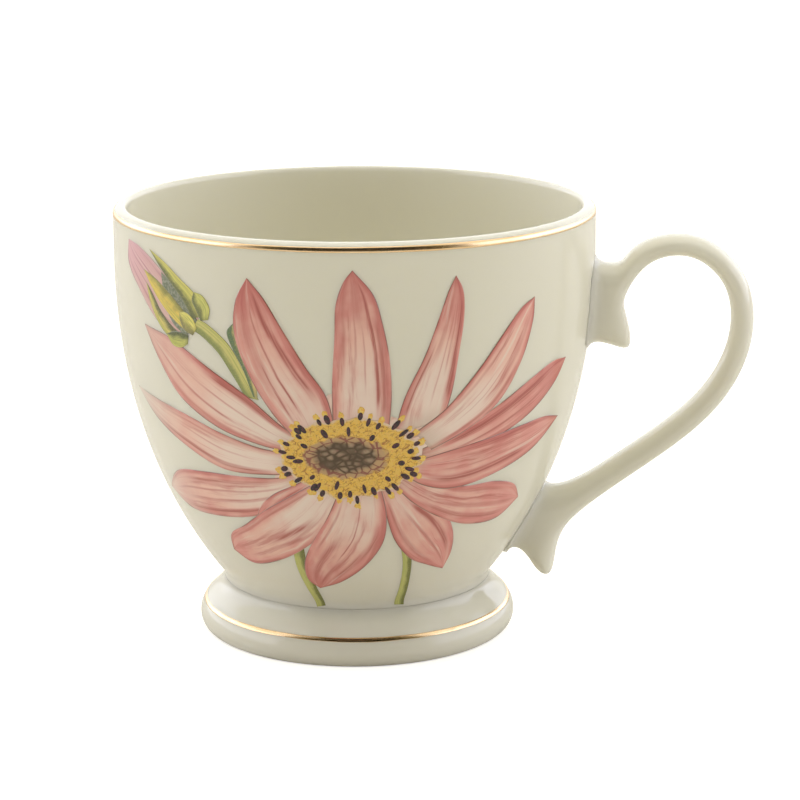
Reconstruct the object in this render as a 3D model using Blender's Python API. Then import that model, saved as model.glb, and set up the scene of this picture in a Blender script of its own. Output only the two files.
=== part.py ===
"""A footed teacup: a turned bowl on a flared foot, a cast loop handle luted to the wall,
two gold bands and a daisy transfer fired on the front.

Metres, +Z up. The cup stands on Z = 0, the handle points along +X and the daisy faces -Y. The
bowl's axis is on Y = 0, and the middle of the whole length, handle included, is at X = 0.
"""
import math

import bmesh
import bpy
from mathutils import Vector
from mathutils.geometry import interpolate_bezier

# Overall sizes of the cup (metres)
RIM_RADIUS = 0.0500
CUP_HEIGHT = 0.0912
HANDLE_REACH = 0.0334          # how far the handle stands out past the rim

# Bowl
BOWL_WALL = 0.0029
BOWL_FLOOR = 0.0036
FLOOR_FLAT_RADIUS = 0.0120     # flat middle of the inside floor
FLOOR_CORNER_RISE = 0.0070     # height of the rounded corner between floor and wall
STRAIGHT_TOP = 0.0072          # upright stretch of wall under the rim
WAIST_RADIUS = 0.0284
WAIST_HEIGHT = 0.0124
WAIST_FLARE = math.radians(38.5)
FLARE_LENGTH = 0.0364          # how far the bowl keeps the flare's direction
UPRIGHT_LENGTH = 0.0087        # how far the wall below the rim stays nearly upright

# Foot
FOOT_RADIUS = 0.0335
FOOT_WIDEST_HEIGHT = 0.0027
FOOT_SWEEP = 0.0043            # reach of the curve between waist and widest point
FOOT_RING_INSET = 0.0016       # rounding between the widest point and the resting ring
FOOT_RING_WIDTH = 0.0030
FOOT_WALL = 0.0046
RING_EDGE = 0.0008

# Handle
HANDLE_TOP_DROP = 0.0074       # loop's top below the rim
HANDLE_TIP_HEIGHT = 0.0104     # lower spur's tip above the table
STRAP_WIDTH = 0.0092
ROOT_WIDTH = 0.0108
STRAP_THIN = 0.0045            # thickness at the top of the loop
STRAP_THICK = 0.0052           # thickness where the loop runs down to the bowl

# Luting slip, gold and transfer
JOINT_GAP = 0.0003             # clearance kept between pieces that touch
SLIP_THICKNESS = 0.0006
GOLD_THICKNESS = 0.0003
RIM_BAND_WIDTH = 0.0010
RIM_BAND_DROP = 0.0020         # middle of the band below the rim
FOOT_BAND_WIDTH = 0.0009
FOOT_BAND_HEIGHT = 0.0058
TRANSFER_THICKNESS = 0.0002

# Daisy transfer: angles round the cup are from -Y towards +X. Distances on the transfer are from
# the disc's middle, and grow or shrink with the wall's height, as the decal is cut for the cup.
DAISY_AZIMUTH = math.radians(4.0)
DAISY_RISE = 0.0346            # disc's middle above the waist
TRANSFER_WALL = 0.0788         # height from waist to rim that the distances are given for
DISC_HALF_WIDTH = 0.0160
DISC_HALF_HEIGHT = 0.0090
DISC_END = 0.15                # half width of the disc's upper and lower edge, as a share
# Each petal: direction from the disc, length, half the angle that it fills
PETALS = (
    (2, 0.0555, 13), (16, 0.0555, 12), (36, 0.0505, 15), (58, 0.0415, 14), (88, 0.0378, 17),
    (119, 0.0405, 17), (156, 0.0530, 16), (172, 0.0555, 14), (191, 0.0570, 14), (212, 0.0425, 15),
    (249, 0.0335, 15), (285, 0.0200, 26), (316, 0.0395, 13), (344, 0.0490, 15),
)

PETAL_POINT = 0.42             # how quickly a petal falls away beside its tip
PETAL_MARGIN = 0.0040          # least width of petal round the disc
# Stalks and bud: points along the middle line (across, up), and half the width there
LEFT_STEM = ((-0.0159, -0.0190, 0.0011), (-0.0168, -0.0235, 0.0011), (-0.0160, -0.0285, 0.0011),
             (-0.0148, -0.0330, 0.0010))
RIGHT_STEM = ((0.0144, -0.0224, 0.0013), (0.0157, -0.0280, 0.0013), (0.0164, -0.0330, 0.0012))
BUD = ((-0.0544, 0.0380, 0.0005), (-0.0502, 0.0358, 0.0034), (-0.0449, 0.0330, 0.0046),
       (-0.0393, 0.0298, 0.0032), (-0.0353, 0.0273, 0.0012))

# How finely the pieces are faceted
TURNS = 48                     # facets round the turned pieces
CUTTER_TURNS = 96
WALL_POINTS = 61
FOOT_POINTS = 41
PROFILE_STEP = 4               # a turned profile keeps one curve point in this many
CUTTER_STEP = 3
CORNER_POINTS = 6
LIP_POINTS = 7
RING_POINTS = 5
SLIP_LEVELS = 6
PETAL_DIRECTIONS = 108
PETAL_RINGS = 8
DISC_SPANS = 8
SHORTEST_SPAN = 0.0003
WELD = 0.00001
SHARP_ANGLE = math.radians(40)

# Colour, roughness and metallic value of each finish
FINISHES = {
    "porcelain": ((0.77, 0.73, 0.62), 0.15, 0.0),
    "foot_porcelain": ((0.77, 0.73, 0.62), 0.18, 0.0),
    "handle_porcelain": ((0.77, 0.73, 0.62), 0.16, 0.0),
    "foot_slip": ((0.80, 0.77, 0.68), 0.5, 0.0),
    "upper_slip": ((0.80, 0.77, 0.68), 0.5, 0.0),
    "lower_slip": ((0.80, 0.77, 0.68), 0.5, 0.0),
    "rim_gold": ((0.83, 0.61, 0.36), 0.25, 1.0),
    "foot_gold": ((0.83, 0.61, 0.36), 0.28, 1.0),
    "petal_enamel": ((0.70, 0.36, 0.31), 0.3, 0.0),
    "disc_enamel": ((0.62, 0.40, 0.08), 0.35, 0.0),
    "left_stem_enamel": ((0.36, 0.42, 0.10), 0.35, 0.0),
    "right_stem_enamel": ((0.36, 0.42, 0.10), 0.35, 0.0),
    "bud_enamel": ((0.72, 0.42, 0.30), 0.3, 0.0),
}


def clear_scene():
    for obj in list(bpy.data.objects):
        bpy.data.objects.remove(obj, do_unlink=True)


def finish(name):
    colour, roughness, metallic = FINISHES[name]
    material = bpy.data.materials.new(name)
    material.use_nodes = True
    shader = material.node_tree.nodes["Principled BSDF"]
    shader.inputs["Base Color"].default_value = (*colour, 1.0)
    shader.inputs["Roughness"].default_value = roughness
    shader.inputs["Metallic"].default_value = metallic
    return material


def add_object(name, bm, axis, material):
    """Turn a bmesh into a named object on the cup's axis."""
    mesh = bpy.data.meshes.new(name)
    bm.to_mesh(mesh)
    bm.free()
    mesh.materials.append(material)
    mesh.shade_smooth()
    mesh.set_sharp_from_angle(angle=SHARP_ANGLE)
    obj = bpy.data.objects.new(name, mesh)
    bpy.context.scene.collection.objects.link(obj)
    obj.parent = axis
    return obj


# ---------------------------------------------------------------- profiles

def bezier(points, count):
    """Points along one cubic curve through the (radius, height) plane."""
    corners = [Vector((r, z)) for r, z in points]
    return interpolate_bezier(*corners, count)


def wall_curve():
    """Outside of the bowl from the waist up to where the lip starts to round."""
    lip_start = CUP_HEIGHT - BOWL_WALL / 2
    top = CUP_HEIGHT - STRAIGHT_TOP
    curve = bezier(((WAIST_RADIUS, WAIST_HEIGHT),
                    (WAIST_RADIUS + FLARE_LENGTH * math.sin(WAIST_FLARE),
                     WAIST_HEIGHT + FLARE_LENGTH * math.cos(WAIST_FLARE)),
                    (RIM_RADIUS, top - UPRIGHT_LENGTH),
                    (RIM_RADIUS, top)), WALL_POINTS)
    return curve + [Vector((RIM_RADIUS, lip_start))]


def foot_curve():
    """Outside of the foot from the waist down to its widest point."""
    low = FOOT_WIDEST_HEIGHT
    return bezier(((WAIST_RADIUS, WAIST_HEIGHT),
                   (WAIST_RADIUS, WAIST_HEIGHT - FOOT_SWEEP),
                   (FOOT_RADIUS, low + FOOT_SWEEP),
                   (FOOT_RADIUS, low)), FOOT_POINTS)


def at_height(curve, height):
    """The point of a curve at a height, and its outward normal there."""
    spans = list(zip(curve[:-1], curve[1:]))
    inside = [s for s in spans if min(s[0].y, s[1].y) <= height <= max(s[0].y, s[1].y)]
    nearest = spans[0] if abs(height - curve[0].y) < abs(height - curve[-1].y) else spans[-1]
    low, high = inside[0] if inside else nearest
    share = (height - low.y) / (high.y - low.y)
    along = (high - low).normalized()
    outward = Vector((abs(along.y), -along.x if along.y > 0 else along.x))
    return low.lerp(high, share), outward


def every(curve, step):
    """The curve thinned to one point in step, with both ends kept."""
    return curve[:-1:step] + [curve[-1]]


def above(curve, height):
    """The part of a rising curve above a height, starting exactly there."""
    start, _ = at_height(curve, height)
    return [start] + [p for p in curve if p.y > height + SHORTEST_SPAN]


def arc(centre, radius, start, end, count):
    angles = [start + (end - start) * i / (count - 1) for i in range(count)]
    return [centre + Vector((math.cos(a), math.sin(a))) * radius for a in angles]


def add_turned(name, profile, axis, material, turns=TURNS, closed=False):
    """Revolve a (radius, height) profile about the axis with a Screw modifier."""
    bm = bmesh.new()
    verts = [bm.verts.new((p.x, 0, p.y)) for p in profile]
    for first, second in zip(verts[:-1], verts[1:]):
        bm.edges.new((first, second))
    if closed:
        bm.edges.new((verts[-1], verts[0]))
    obj = add_object(name, bm, axis, material)
    screw = obj.modifiers.new("turn", "SCREW")
    screw.steps = turns
    screw.render_steps = turns
    screw.use_merge_vertices = True
    screw.merge_threshold = WELD
    return obj


# ---------------------------------------------------------------- bowl and foot

def add_bowl(axis, material):
    base = WAIST_HEIGHT + JOINT_GAP + SLIP_THICKNESS / 2
    floor = base + BOWL_FLOOR
    outside = above(every(wall_curve(), PROFILE_STEP), base)
    inside = [at_height(wall_curve(), p.y) for p in outside[:-1]]
    inside = [point - normal * BOWL_WALL for point, normal in inside]
    inside = above(inside, floor + FLOOR_CORNER_RISE)
    slope = (inside[1] - inside[0]).normalized()
    corner = bezier(((FLOOR_FLAT_RADIUS, floor),
                     (inside[0].x - FLOOR_CORNER_RISE, floor),
                     inside[0] - slope * FLOOR_CORNER_RISE / 2,
                     inside[0]), CORNER_POINTS)
    lip_centre = Vector((RIM_RADIUS - BOWL_WALL / 2, CUP_HEIGHT - BOWL_WALL / 2))
    lip = arc(lip_centre, BOWL_WALL / 2, math.pi, 0, LIP_POINTS)
    profile = [Vector((0, floor))] + corner + inside[1:] + lip + outside[-2::-1]
    return add_turned("bowl", profile + [Vector((0, base))], axis, material)


def add_foot(axis, material):
    top = WAIST_HEIGHT - JOINT_GAP - SLIP_THICKNESS / 2
    outside = [p for p in every(foot_curve(), PROFILE_STEP) if p.y < top]
    start, _ = at_height(foot_curve(), top)
    ring_outer = FOOT_RADIUS - FOOT_RING_INSET
    ring_inner = ring_outer - FOOT_RING_WIDTH
    under = bezier(((FOOT_RADIUS, FOOT_WIDEST_HEIGHT),
                    (FOOT_RADIUS, FOOT_WIDEST_HEIGHT / 2),
                    (ring_outer + RING_EDGE, 0),
                    (ring_outer, 0)), RING_POINTS)
    hollow = bezier(((ring_inner, 0),
                     (ring_inner - RING_EDGE, 0),
                     (WAIST_RADIUS - FOOT_WALL, top / 2),
                     (WAIST_RADIUS - FOOT_WALL, top)), CORNER_POINTS)
    profile = [start] + outside + under[1:] + hollow
    return add_turned("pedestal_foot", profile, axis, material, closed=True)


def add_foot_slip(axis, material):
    """The ring of slip that sticks the foot under the bowl."""
    outer = WAIST_RADIUS - JOINT_GAP
    inner = WAIST_RADIUS - FOOT_WALL + JOINT_GAP
    half = SLIP_THICKNESS / 2
    corners = ((inner, half), (outer, half), (outer, -half), (inner, -half))
    profile = [Vector((r, WAIST_HEIGHT + z)) for r, z in corners]
    return add_turned("foot_slip_joint", profile, axis, material, closed=True)


def add_gold_band(name, curve, height, width, axis, material):
    """A flat gold line round the cup, following the surface under it."""
    profile = []
    for level, lift in ((1, 0), (1, 1), (-1, 1), (-1, 0)):
        point, normal = at_height(curve, height + level * width / 2)
        profile.append(point + normal * (JOINT_GAP + lift * GOLD_THICKNESS))
    return add_turned(name, profile, axis, material, closed=True)


# ---------------------------------------------------------------- handle

def handle_point(out, up):
    """A point beside the wall: out is 0 on the wall and 1 at the handle's full reach,
    up is 0 at the lower spur's tip and 1 at the loop's top."""
    top = CUP_HEIGHT - HANDLE_TOP_DROP
    height = HANDLE_TIP_HEIGHT + up * (top - HANDLE_TIP_HEIGHT)
    wall = at_height(wall_curve(), height)[0].x
    return Vector((wall + out * (RIM_RADIUS + HANDLE_REACH - wall), height))


# Middle line of the loop, from its upper root out and down to its lower root
LOOP_LINE = (
    (0.275, 0.955), (0.450, 0.985), (0.630, 0.980), (0.780, 0.935), (0.885, 0.870), (0.925, 0.780),
    (0.900, 0.680), (0.810, 0.580), (0.680, 0.495), (0.525, 0.420), (0.375, 0.350), (0.260, 0.290),
)
UPPER_BLOCK = {
    "wall_top": (-0.16, 0.950), "wall_high": (-0.16, 0.850), "wall_low": (-0.16, 0.765),
    "wall_base": (-0.16, 0.680), "crown": (0.130, 0.920), "core_high": (0.120, 0.840),
    "core_low": (0.110, 0.770), "arch": (0.070, 0.715), "shoulder": (0.185, 0.945),
    "throat": (0.170, 0.820), "side": (0.220, 0.775), "spur": (0.305, 0.650),
}
LOWER_BLOCK = {
    "wall_top": (-0.12, 0.320), "wall_mid": (-0.12, 0.200), "wall_base": (-0.12, 0.085),
    "crown": (0.040, 0.265), "core": (0.075, 0.165), "arch": (0.050, 0.105),
    "throat": (0.150, 0.300), "heel": (0.180, 0.160), "side": (0.225, 0.070),
    "spur_out": (0.245, -0.010), "spur_in": (0.170, 0.025),
}
# A Catmull-Clark surface lies this far inside the square section of its cage
SECTION_FULLNESS = 0.92
FOOTPRINT_POWER = 4            # how square a root's footprint on the wall is
FOOTPRINT_END = 1 / 3          # width of the footprint's ends, as a share of its middle


def loop_rungs():
    """Pairs of points on the loop's outer and inner edges."""
    line = [handle_point(*p) for p in LOOP_LINE]
    rungs = []
    for i, point in enumerate(line):
        before = line[max(i - 1, 0)]
        after = line[min(i + 1, len(line) - 1)]
        along = (after - before).normalized()
        share = i / (len(line) - 1)
        thickness = STRAP_THIN + (STRAP_THICK - STRAP_THIN) * share
        side = Vector((-along.y, along.x)) * thickness / 2 / SECTION_FULLNESS
        rungs.append((point + side, point - side))
    return rungs


def handle_cage():
    """Quads of the handle's side view, each corner with half the width there."""
    upper = {k: handle_point(*p) for k, p in UPPER_BLOCK.items()}
    lower = {k: handle_point(*p) for k, p in LOWER_BLOCK.items()}
    root = ROOT_WIDTH / 2 / SECTION_FULLNESS
    strap = STRAP_WIDTH / 2 / SECTION_FULLNESS
    u = {k: (p, root) for k, p in upper.items()}
    w = {k: (p, root) for k, p in lower.items()}
    rungs = [((a, strap), (b, strap)) for a, b in loop_rungs()]
    quads = [
        (u["wall_top"], u["crown"], u["core_high"], u["wall_high"]),
        (u["wall_high"], u["core_high"], u["core_low"], u["wall_low"]),
        (u["wall_low"], u["core_low"], u["arch"], u["wall_base"]),
        (u["core_high"], u["throat"], u["side"], u["core_low"]),
        (u["core_low"], u["side"], u["spur"], u["arch"]),
        (u["crown"], u["shoulder"], u["throat"], u["core_high"]),
        (u["shoulder"], rungs[0][0], rungs[0][1], u["throat"]),
        (rungs[-1][0], w["heel"], w["throat"], rungs[-1][1]),
        (w["heel"], w["core"], w["crown"], w["throat"]),
        (w["core"], w["wall_mid"], w["wall_top"], w["crown"]),
        (w["core"], w["arch"], w["wall_base"], w["wall_mid"]),
        (w["heel"], w["side"], w["arch"], w["core"]),
        (w["side"], w["spur_out"], w["spur_in"], w["arch"]),
    ]
    for (outer, inner), (next_outer, next_inner) in zip(rungs[:-1], rungs[1:]):
        quads.append((outer, next_outer, next_inner, inner))
    return quads


def add_wall_cutter(name, axis, material, lift):
    """The bowl's outside, grown by lift, as a solid that trims what meets the wall."""
    curve = wall_curve()
    grown = []
    for point in every(curve[:-1], CUTTER_STEP):
        on_curve, normal = at_height(curve, point.y)
        grown.append(on_curve + normal * lift)
    low = Vector((0, grown[0].y))
    high = Vector((0, grown[-1].y))
    cutter = add_turned(name, [high] + grown[::-1] + [low], axis, material, CUTTER_TURNS)
    cutter.hide_render = True
    cutter.display_type = 'WIRE'
    return cutter


def add_handle(axis, material):
    bm = bmesh.new()
    seen = {}
    for quad in handle_cage():
        corners = []
        for point, half in quad:
            key = (point.x, point.y)
            if key not in seen:
                seen[key] = bm.verts.new((point.x, -half, point.y))
            corners.append(seen[key])
        bm.faces.new(corners)
    side = bmesh.ops.extrude_face_region(bm, geom=bm.faces[:])
    for vert in side["geom"]:
        if isinstance(vert, bmesh.types.BMVert):
            vert.co.y = -vert.co.y
    bmesh.ops.recalc_face_normals(bm, faces=bm.faces[:])
    handle = add_object("handle", bm, axis, material)
    smooth = handle.modifiers.new("round", "SUBSURF")
    smooth.levels = 2
    smooth.render_levels = 2
    seat = handle.modifiers.new("seat on the wall", "BOOLEAN")
    seat.operation = 'DIFFERENCE'
    seat.object = add_wall_cutter("wall_cutter", axis, material, 2 * JOINT_GAP + SLIP_THICKNESS)
    return handle


# ---------------------------------------------------------------- skins on the wall

def on_wall(azimuth, height, lift):
    point, normal = at_height(wall_curve(), height)
    grown = point + normal * lift
    return Vector((grown.x * math.sin(azimuth), -grown.x * math.cos(azimuth), grown.y))


def facet_dip(rows):
    """How far the middle of a skin's facets dips into the round wall, if its corners are on it."""
    dips = []
    for low, high in zip(rows[:-1], rows[1:]):
        for start, end in list(zip(low[:-1], high[1:])) + list(zip(low[1:], high[:-1])):
            middle = (on_wall(*start, 0) + on_wall(*end, 0)) / 2
            wall, normal = at_height(wall_curve(), middle.z)
            dips.append((wall.x - middle.xy.length) * normal.x)
    return max(dips)


def add_skin(name, rows, axis, material, thickness, ring=False):
    """A thin skin on the bowl: rows of (azimuth, height) points, all of one length."""
    bm = bmesh.new()
    lift = JOINT_GAP + facet_dip(rows)
    grid = [[bm.verts.new(on_wall(a, h, lift)) for a, h in row] for row in rows]
    count = len(rows[0])
    for low, high in zip(grid[:-1], grid[1:]):
        for i in range(count if ring else count - 1):
            j = (i + 1) % count
            bm.faces.new((low[i], low[j], high[j], high[i]))
    shell = bmesh.ops.extrude_face_region(bm, geom=bm.faces[:])
    for vert in shell["geom"]:
        if isinstance(vert, bmesh.types.BMVert):
            azimuth = math.atan2(vert.co.x, -vert.co.y)
            radial = Vector((math.sin(azimuth), -math.cos(azimuth), 0))
            _, normal = at_height(wall_curve(), vert.co.z)
            vert.co += (radial * normal.x + Vector((0, 0, normal.y))) * thickness
    bmesh.ops.recalc_face_normals(bm, faces=bm.faces[:])
    return add_object(name, bm, axis, material)


def add_handle_slip(name, azimuth, block, axis, material):
    """Slip between a root of the handle and the wall, as far as the root's footprint."""
    top = handle_point(*block["wall_top"]).y
    base = handle_point(*block["wall_base"]).y
    middle = (top + base) / 2
    radius = at_height(wall_curve(), middle)[0].x
    half_angle = ROOT_WIDTH / 2 / radius
    rows = []
    for level in range(SLIP_LEVELS + 1):
        up = math.cos(math.pi * level / SLIP_LEVELS)
        rounded = (1 - up ** FOOTPRINT_POWER) ** (1 / FOOTPRINT_POWER)
        spread = half_angle * max(rounded, FOOTPRINT_END)
        height = middle + up * (top - base) / 2
        rows.append([(azimuth + spread * side, height) for side in (-1, -0.5, 0, 0.5, 1)])
    return add_skin(name, rows, axis, material, SLIP_THICKNESS)


def petal_reach(direction):
    """How far the daisy's outline is from the disc's middle in a direction."""
    best = 0
    for angle, length, half in PETALS:
        turn = abs((math.degrees(direction) - angle + 180) % 360 - 180) / half
        best = max(best, length * (1 - PETAL_POINT * turn ** 2))
    return max(best, disc_reach(direction) + PETAL_MARGIN)


def disc_reach(direction):
    across = math.cos(direction) / DISC_HALF_WIDTH
    upward = math.sin(direction) / DISC_HALF_HEIGHT
    return 1 / math.hypot(across, upward)


def transfer_point(across, up):
    """A place on the transfer, from the disc's middle, as (azimuth, height) on the wall."""
    fit = (CUP_HEIGHT - WAIST_HEIGHT) / TRANSFER_WALL
    return DAISY_AZIMUTH + across * fit / RIM_RADIUS, WAIST_HEIGHT + (DAISY_RISE + up) * fit


def add_petals(axis, material):
    directions = [2 * math.pi * i / PETAL_DIRECTIONS for i in range(PETAL_DIRECTIONS)]
    rows = []
    for step in range(PETAL_RINGS + 1):
        row = []
        for d in directions:
            start = disc_reach(d) + JOINT_GAP
            distance = start + (petal_reach(d) - start) * step / PETAL_RINGS
            row.append(transfer_point(distance * math.cos(d), distance * math.sin(d)))
        rows.append(row)
    return add_skin("daisy_petals", rows, axis, material, TRANSFER_THICKNESS, ring=True)


def add_disc(axis, material):
    """The daisy's disc, as rows across it from its lower edge to its upper edge."""
    rows = []
    for level in range(DISC_SPANS + 1):
        direction = math.pi * (level / DISC_SPANS - 0.5)
        up = math.sin(direction) * DISC_HALF_HEIGHT
        half = max(math.cos(direction), DISC_END) * DISC_HALF_WIDTH
        across = [half * (2 * i / DISC_SPANS - 1) for i in range(DISC_SPANS + 1)]
        rows.append([transfer_point(a, up) for a in across])
    return add_skin("daisy_disc", rows, axis, material, TRANSFER_THICKNESS)


def add_sprig(name, line, axis, material):
    """A stalk or bud, as rows across its middle line."""
    rows = []
    for i, (across, up, half) in enumerate(line):
        before = line[max(i - 1, 0)]
        after = line[min(i + 1, len(line) - 1)]
        along = Vector((after[0] - before[0], after[1] - before[1]))
        side = Vector((-along.y, along.x)).normalized() * half
        middle = Vector((across, up))
        rows.append([transfer_point(*p) for p in (middle - side, middle, middle + side)])
    return add_skin(name, rows, axis, material, TRANSFER_THICKNESS)


def centre_length(axis, pieces):
    """Move the cup along X, so that the middle of its length is at the origin."""
    bpy.context.view_layer.update()
    graph = bpy.context.evaluated_depsgraph_get()
    along = []
    for piece in pieces:
        mesh = piece.evaluated_get(graph).to_mesh()
        along += [vert.co.x for vert in mesh.vertices]
        piece.evaluated_get(graph).to_mesh_clear()
    axis.location.x = -(min(along) + max(along)) / 2


def build():
    clear_scene()
    axis = bpy.data.objects.new("cup_axis", None)
    bpy.context.scene.collection.objects.link(axis)
    rim_band_height = CUP_HEIGHT - RIM_BAND_DROP
    slip_side = math.pi / 2
    pieces = [
        add_bowl(axis, finish("porcelain")),
        add_foot(axis, finish("foot_porcelain")),
        add_foot_slip(axis, finish("foot_slip")),
        add_handle(axis, finish("handle_porcelain")),
        add_handle_slip("handle_upper_slip", slip_side, UPPER_BLOCK, axis, finish("upper_slip")),
        add_handle_slip("handle_lower_slip", slip_side, LOWER_BLOCK, axis, finish("lower_slip")),
        add_gold_band("rim_gold_band", wall_curve(), rim_band_height, RIM_BAND_WIDTH, axis,
                      finish("rim_gold")),
        add_gold_band("foot_gold_band", foot_curve(), FOOT_BAND_HEIGHT, FOOT_BAND_WIDTH, axis,
                      finish("foot_gold")),
        add_petals(axis, finish("petal_enamel")),
        add_disc(axis, finish("disc_enamel")),
        add_sprig("daisy_stem_left", LEFT_STEM, axis, finish("left_stem_enamel")),
        add_sprig("daisy_stem_right", RIGHT_STEM, axis, finish("right_stem_enamel")),
        add_sprig("daisy_bud", BUD, axis, finish("bud_enamel")),
    ]
    centre_length(axis, pieces)


build()
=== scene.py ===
"""Looks of the footed teacup: porcelain, gold lines and the daisy transfer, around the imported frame."""
import math

import bmesh
import bpy
import numpy as np
from mathutils import Matrix, Vector
from mathutils.geometry import interpolate_bezier


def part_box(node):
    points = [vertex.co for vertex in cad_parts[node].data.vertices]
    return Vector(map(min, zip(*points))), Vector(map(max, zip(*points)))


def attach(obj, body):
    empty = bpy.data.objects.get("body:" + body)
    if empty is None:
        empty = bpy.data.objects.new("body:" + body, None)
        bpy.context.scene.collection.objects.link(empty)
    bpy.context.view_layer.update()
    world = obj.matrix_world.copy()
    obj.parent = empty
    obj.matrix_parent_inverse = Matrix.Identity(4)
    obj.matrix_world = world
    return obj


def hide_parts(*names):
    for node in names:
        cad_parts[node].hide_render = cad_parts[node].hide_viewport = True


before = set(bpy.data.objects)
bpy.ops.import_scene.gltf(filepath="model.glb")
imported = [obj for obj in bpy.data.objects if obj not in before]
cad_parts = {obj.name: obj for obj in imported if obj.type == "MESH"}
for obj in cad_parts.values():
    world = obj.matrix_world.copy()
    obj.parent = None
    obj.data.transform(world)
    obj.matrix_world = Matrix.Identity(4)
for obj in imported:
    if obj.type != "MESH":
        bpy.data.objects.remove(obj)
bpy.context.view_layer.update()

MM = 0.001

# ---- sizes, from the frame and the part
BOWL_LOW, BOWL_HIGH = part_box("bowl")
FOOT_LOW, FOOT_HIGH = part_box("pedestal_foot")
AXIS_X = (FOOT_LOW.x + FOOT_HIGH.x) / 2
RIM_RADIUS = (BOWL_HIGH.y - BOWL_LOW.y) / 2
CUP_HEIGHT = BOWL_HIGH.z
FOOT_RADIUS = (FOOT_HIGH.y - FOOT_LOW.y) / 2
HANDLE_REACH = 33.4 * MM

BOWL_WALL = 2.9 * MM
BOWL_FLOOR_RISE = 4.2 * MM      # the inside's floor above the waist
FLOOR_FLAT_RADIUS = 12.0 * MM
FLOOR_CORNER_RISE = 7.0 * MM
STRAIGHT_TOP = 7.2 * MM
LIP_TOP = CUP_HEIGHT - 0.5 * MM
LIP_CREST_RADIUS = RIM_RADIUS - 2.15 * MM
LIP_OUTER_FALL = 1.5 * MM
LIP_INNER_FALL = 1.2 * MM
LIP_BLEND = 0.2 * MM            # gap between wall and lip curve
WAIST_RADIUS = 28.4 * MM
WAIST_HEIGHT = 12.4 * MM
WAIST_FLARE = math.radians(38.5)
WAIST_FILLET = 1.5 * MM
SEAM_WIDTH = 3.0 * MM           # where the bowl sits on the foot
FLARE_LENGTH = 36.4 * MM
UPRIGHT_LENGTH = 8.7 * MM
FOOT_WIDEST_HEIGHT = 2.7 * MM
FOOT_SWEEP = 4.3 * MM
FOOT_RING_INSET = 1.6 * MM
FOOT_RING_WIDTH = 3.0 * MM
FOOT_RING_ROUND = 0.8 * MM
FOOT_WALL = 4.6 * MM
RIM_BAND_DROP = 1.22 * MM
RIM_BAND_WIDTH = 1.10 * MM
FOOT_BAND_HEIGHT = 5.8 * MM
FOOT_BAND_WIDTH = 0.80 * MM
HANDLE_TOP_DROP = 7.4 * MM
HANDLE_TIP_HEIGHT = 10.4 * MM
STRAP_WIDTH = 9.2 * MM
ROOT_WIDTH = 10.8 * MM
STRAP_THIN = 4.45 * MM
STRAP_THICK = 5.25 * MM
DAISY_AZIMUTH = math.radians(3.85)      # of the disc's middle, from -Y towards +X
DAISY_HEIGHT = 47.65 * MM

TURNS = 288                     # steps round the cup
GLAZE = (0.785, 0.765, 0.665)   # albedo of the ivory glaze

# ---- profiles


def bezier(points, count):
    corners = [Vector((r, z)) for r, z in points]
    return [np.array(p) for p in interpolate_bezier(*corners, count)]


def flare_point(distance):
    return (WAIST_RADIUS + distance * math.sin(WAIST_FLARE),
            WAIST_HEIGHT + distance * math.cos(WAIST_FLARE))


def wall_curve():
    """Outside of the bowl from the waist up to where the lip starts to round."""
    top = CUP_HEIGHT - STRAIGHT_TOP
    curve = bezier((flare_point(0), flare_point(FLARE_LENGTH),
                    (RIM_RADIUS, top - UPRIGHT_LENGTH), (RIM_RADIUS, top)), 97)
    start = next(i for i, p in enumerate(curve) if p[1] > flare_point(WAIST_FILLET)[1])
    fillet = bezier(((WAIST_RADIUS, WAIST_HEIGHT - WAIST_FILLET), (WAIST_RADIUS, WAIST_HEIGHT),
                     (WAIST_RADIUS, WAIST_HEIGHT), tuple(curve[start])), 12)
    straight = [np.array((RIM_RADIUS, z)) for z in np.linspace(top, LIP_TOP - LIP_OUTER_FALL, 8)]
    turns = np.linspace(0, math.pi / 2, 15)
    lip = [np.array((LIP_CREST_RADIUS + (RIM_RADIUS - LIP_CREST_RADIUS) * math.cos(a),
                     LIP_TOP - LIP_OUTER_FALL * (1 - math.sin(a)))) for a in turns[1:]]
    return np.array(fillet[:-1] + curve[start:-1] + straight + lip)


def foot_curve():
    """Outside of the foot from its widest point up to the waist."""
    low = FOOT_WIDEST_HEIGHT
    high = WAIST_HEIGHT - WAIST_FILLET
    curve = bezier(((FOOT_RADIUS, low), (FOOT_RADIUS, low + FOOT_SWEEP),
                    (WAIST_RADIUS, WAIST_HEIGHT - FOOT_SWEEP), (WAIST_RADIUS, high)), 61)
    return np.array(curve)


def normals_of(curve):
    """Outward normals of a rising (radius, height) curve."""
    along = np.gradient(curve, axis=0)
    along /= np.linalg.norm(along, axis=1)[:, None]
    return np.stack((along[:, 1], -along[:, 0]), axis=1)


WALL = wall_curve()
WALL_NORMALS = normals_of(WALL)
FOOT = foot_curve()
FOOT_NORMALS = normals_of(FOOT)


def at_height(curve, normals, height):
    """Radius of a rising curve at heights, and the parts of its normal there."""
    radius, out, up = (np.interp(height, curve[:, 1], values)
                       for values in (curve[:, 0], normals[:, 0], normals[:, 1]))
    return radius, out, up


def on_wall(azimuth, height, lift):
    """Points above the bowl's outside; azimuth runs from -Y towards +X."""
    radius, out, up = at_height(WALL, WALL_NORMALS, height)
    grown = radius + out * lift
    x, y = AXIS_X + grown * np.sin(azimuth), -grown * np.cos(azimuth)
    return np.stack((x, y, height + up * lift), axis=-1)


# ---- meshes


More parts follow.
